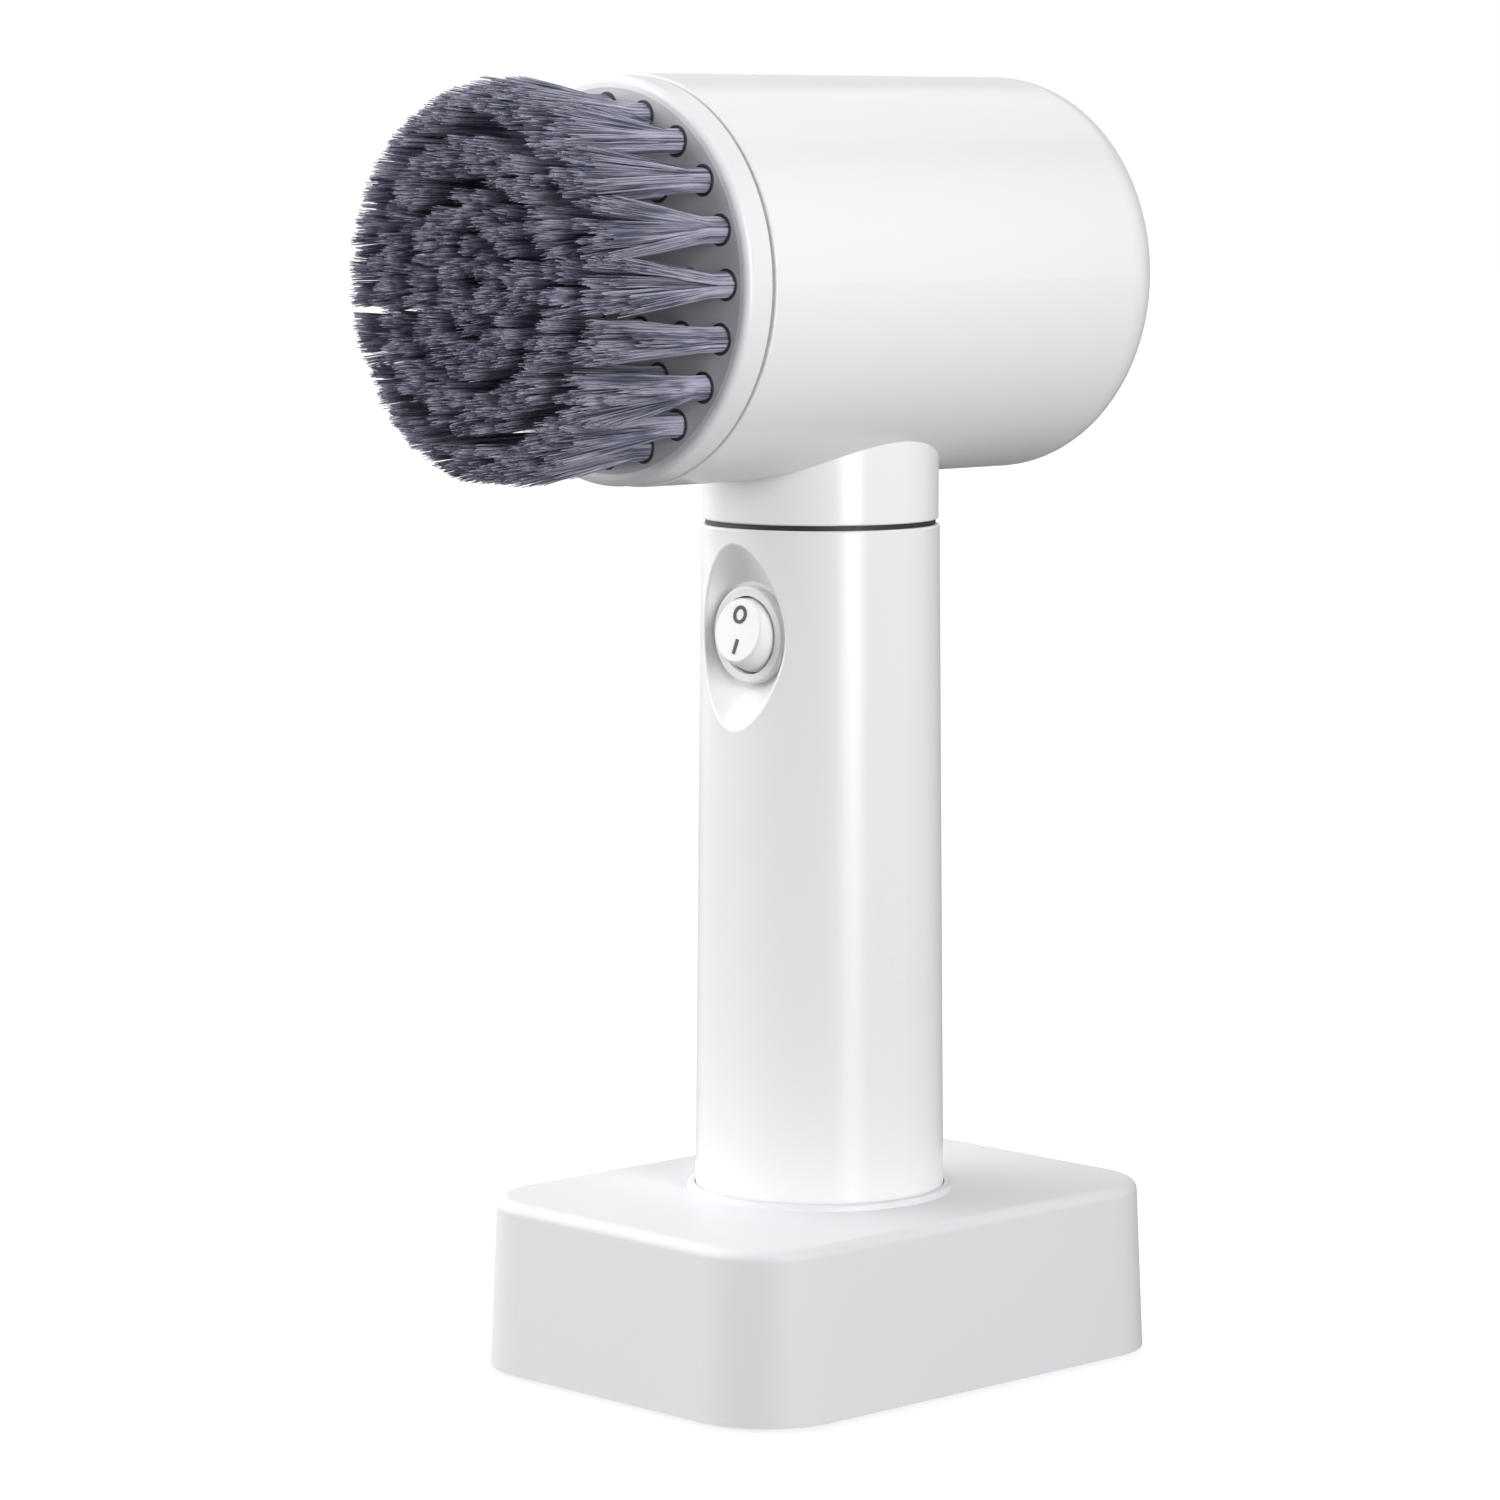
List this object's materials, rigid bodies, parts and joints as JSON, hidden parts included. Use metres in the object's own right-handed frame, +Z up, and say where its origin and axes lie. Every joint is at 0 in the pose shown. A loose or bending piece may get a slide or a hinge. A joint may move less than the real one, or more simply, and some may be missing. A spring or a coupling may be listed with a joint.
{
  "type": "cordless rotary cleaning brush on charging base",
  "caption": "Hammer-shaped cordless scrubbing brush with a round bristle head, tapered handle and rocker switch, standing upright in a rectangular charging base.",
  "frame": {"origin": "centre of the base's underside, on the handle's axis", "axes": "+Z up along the handle; the brush head's axis is Y and the bristles point towards -Y; the long side of the base is along Y"},
  "size_m": [0.0716, 0.1242, 0.2058],
  "materials": {
    "housing_white": "polished white ABS",
    "handle_white": "satin white ABS",
    "base_white": "fine-textured cool white ABS",
    "disc_white": "white ABS",
    "plate_grey": "pale grey nylon",
    "bristle_grey": "slate grey nylon filament",
    "seal_dark": "dark silicone",
    "mat_grey": "anti-slip silicone",
    "switch_white": "moulded white nylon",
    "rocker_white": "moulded white nylon",
    "mark_ink": "printed charcoal",
    "screw_steel": "zinc-plated steel",
    "weight_steel": "plain steel block",
    "gear_nylon": "natural acetal",
    "case_black": "glass-filled nylon",
    "motor_steel": "plated steel can",
    "magnet_dark": "ferrite",
    "rotor_steel": "laminated steel",
    "bush_bronze": "sintered bronze",
    "contact_gold": "gold-plated brass",
    "board_green": "glass-epoxy board",
    "cell_blue": "shrink-wrapped cell",
    "nickel": "nickel strip",
    "inlet_steel": "stainless shell",
    "lead_red": "silicone insulation",
    "cradle_grey": "moulded cradle"
  },
  "bodies": {
    "base": {"base_shell": "base_white", "base_floor": "base_white", "foot_pad": "mat_grey", "base_screws": "screw_steel", "base_weight": "weight_steel", "charge_board": "board_green", "charge_inlet": "inlet_steel", "pin_sleeves": "contact_gold", "pin_spring_left": "screw_steel", "pin_spring_right": "screw_steel"},
    "pin_left": {"contact_pin_left": "contact_gold"},
    "pin_right": {"contact_pin_right": "contact_gold"},
    "rocker": {"switch_rocker": "rocker_white", "switch_marks": "mark_ink"},
    "output": {"output_shaft": "screw_steel", "output_carrier": "rotor_steel"},
    "brush_head": {"brush_disc": "disc_white", "tuft_plate": "plate_grey", "bristles_outer": "bristle_grey", "bristles_middle": "bristle_grey", "bristles_inner": "bristle_grey"},
    "first_stage": {"first_carrier": "rotor_steel", "second_sun_gear": "rotor_steel"},
    "rotor": {"motor_shaft": "motor_steel", "rotor_core": "rotor_steel", "motor_pinion": "bush_bronze"},
    "output_planet_body_1": {"output_planet_1": "gear_nylon"},
    "output_planet_body_2": {"output_planet_2": "gear_nylon"},
    "output_planet_body_3": {"output_planet_3": "gear_nylon"},
    "first_planet_body_1": {"first_planet_1": "gear_nylon"},
    "first_planet_body_2": {"first_planet_2": "gear_nylon"},
    "first_planet_body_3": {"first_planet_3": "gear_nylon"},
    "handle_unit": {"handle_tube": "handle_white", "switch_bezel": "switch_white", "switch_terminals": "contact_gold", "bottom_cap": "handle_white", "bottom_seal": "seal_dark", "charge_contacts": "contact_gold", "cap_screws": "screw_steel", "battery_cell": "cell_blue", "battery_cradle": "cradle_grey", "battery_contacts": "nickel", "control_board": "board_green", "head_housing": "housing_white", "neck_collar": "housing_white", "neck_seal": "seal_dark", "gearbox_cover": "case_black", "cover_screws": "screw_steel", "gearbox_screws": "screw_steel", "gear_case": "case_black", "motor_plate": "screw_steel", "motor_screws": "screw_steel", "shaft_seal": "seal_dark", "output_bush": "bush_bronze", "motor_can": "motor_steel", "motor_end_cap": "case_black", "motor_terminals": "nickel", "motor_magnets": "magnet_dark", "motor_bushes": "bush_bronze", "motor_leads": "lead_red"}
  },
  "joints": [
    {"name": "dock_lift", "type": "slide", "parent": "base", "child": "handle_unit", "axis": [0, 0, 1], "range_m": [0, 0.06]},
    {"name": "brush_spin", "type": "hinge", "parent": "handle_unit", "child": "output", "pos_m": [0, -0.036, 0.1742], "axis": [0, 1, 0], "continuous": true},
    {"name": "brush_pull", "type": "slide", "parent": "output", "child": "brush_head", "axis": [0, -1, 0], "range_m": [0, 0.014]},
    {"name": "rocker_press", "type": "hinge", "parent": "handle_unit", "child": "rocker", "pos_m": [0, -0.014, 0.1182], "axis": [1, 0, 0], "range_deg": [0, 23]},
    {"name": "first_stage_spin", "type": "hinge", "parent": "handle_unit", "child": "first_stage", "pos_m": [0, -0.0163, 0.1742], "axis": [0, 1, 0], "continuous": true},
    {"name": "rotor_spin", "type": "hinge", "parent": "handle_unit", "child": "rotor", "pos_m": [0, 0.01, 0.1742], "axis": [0, 1, 0], "continuous": true},
    {"name": "pin_left_press", "type": "slide", "parent": "base", "child": "pin_left", "axis": [0, 0, 1], "range_m": [-0.001, 0], "stiffness_N_per_m": 300, "springref_m": 0.0012, "deforming": ["pin_spring_left"]},
    {"name": "pin_right_press", "type": "slide", "parent": "base", "child": "pin_right", "axis": [0, 0, 1], "range_m": [-0.001, 0], "stiffness_N_per_m": 300, "springref_m": 0.0012, "deforming": ["pin_spring_right"]},
    {"name": "output_planet_1_spin", "type": "hinge", "parent": "output", "child": "output_planet_body_1", "pos_m": [0.009, -0.0208, 0.1742], "axis": [0, 1, 0], "continuous": true},
    {"name": "output_planet_2_spin", "type": "hinge", "parent": "output", "child": "output_planet_body_2", "pos_m": [-0.0045, -0.0208, 0.16641], "axis": [0, 1, 0], "continuous": true},
    {"name": "output_planet_3_spin", "type": "hinge", "parent": "output", "child": "output_planet_body_3", "pos_m": [-0.0045, -0.0208, 0.18199], "axis": [0, 1, 0], "continuous": true},
    {"name": "first_planet_1_spin", "type": "hinge", "parent": "first_stage", "child": "first_planet_body_1", "pos_m": [0.009, -0.0123, 0.1742], "axis": [0, 1, 0], "continuous": true},
    {"name": "first_planet_2_spin", "type": "hinge", "parent": "first_stage", "child": "first_planet_body_2", "pos_m": [-0.0045, -0.0123, 0.16641], "axis": [0, 1, 0], "continuous": true},
    {"name": "first_planet_3_spin", "type": "hinge", "parent": "first_stage", "child": "first_planet_body_3", "pos_m": [-0.0045, -0.0123, 0.18199], "axis": [0, 1, 0], "continuous": true}
  ],
  "couplings": [
    {"joint": "first_stage_spin", "follows": "brush_spin", "ratio": 5},
    {"joint": "rotor_spin", "follows": "brush_spin", "ratio": 25},
    {"joint": "output_planet_1_spin", "follows": "brush_spin", "ratio": -2.6667},
    {"joint": "output_planet_2_spin", "follows": "brush_spin", "ratio": -2.6667},
    {"joint": "output_planet_3_spin", "follows": "brush_spin", "ratio": -2.6667},
    {"joint": "first_planet_1_spin", "follows": "brush_spin", "ratio": -13.333},
    {"joint": "first_planet_2_spin", "follows": "brush_spin", "ratio": -13.333},
    {"joint": "first_planet_3_spin", "follows": "brush_spin", "ratio": -13.333}
  ]
}
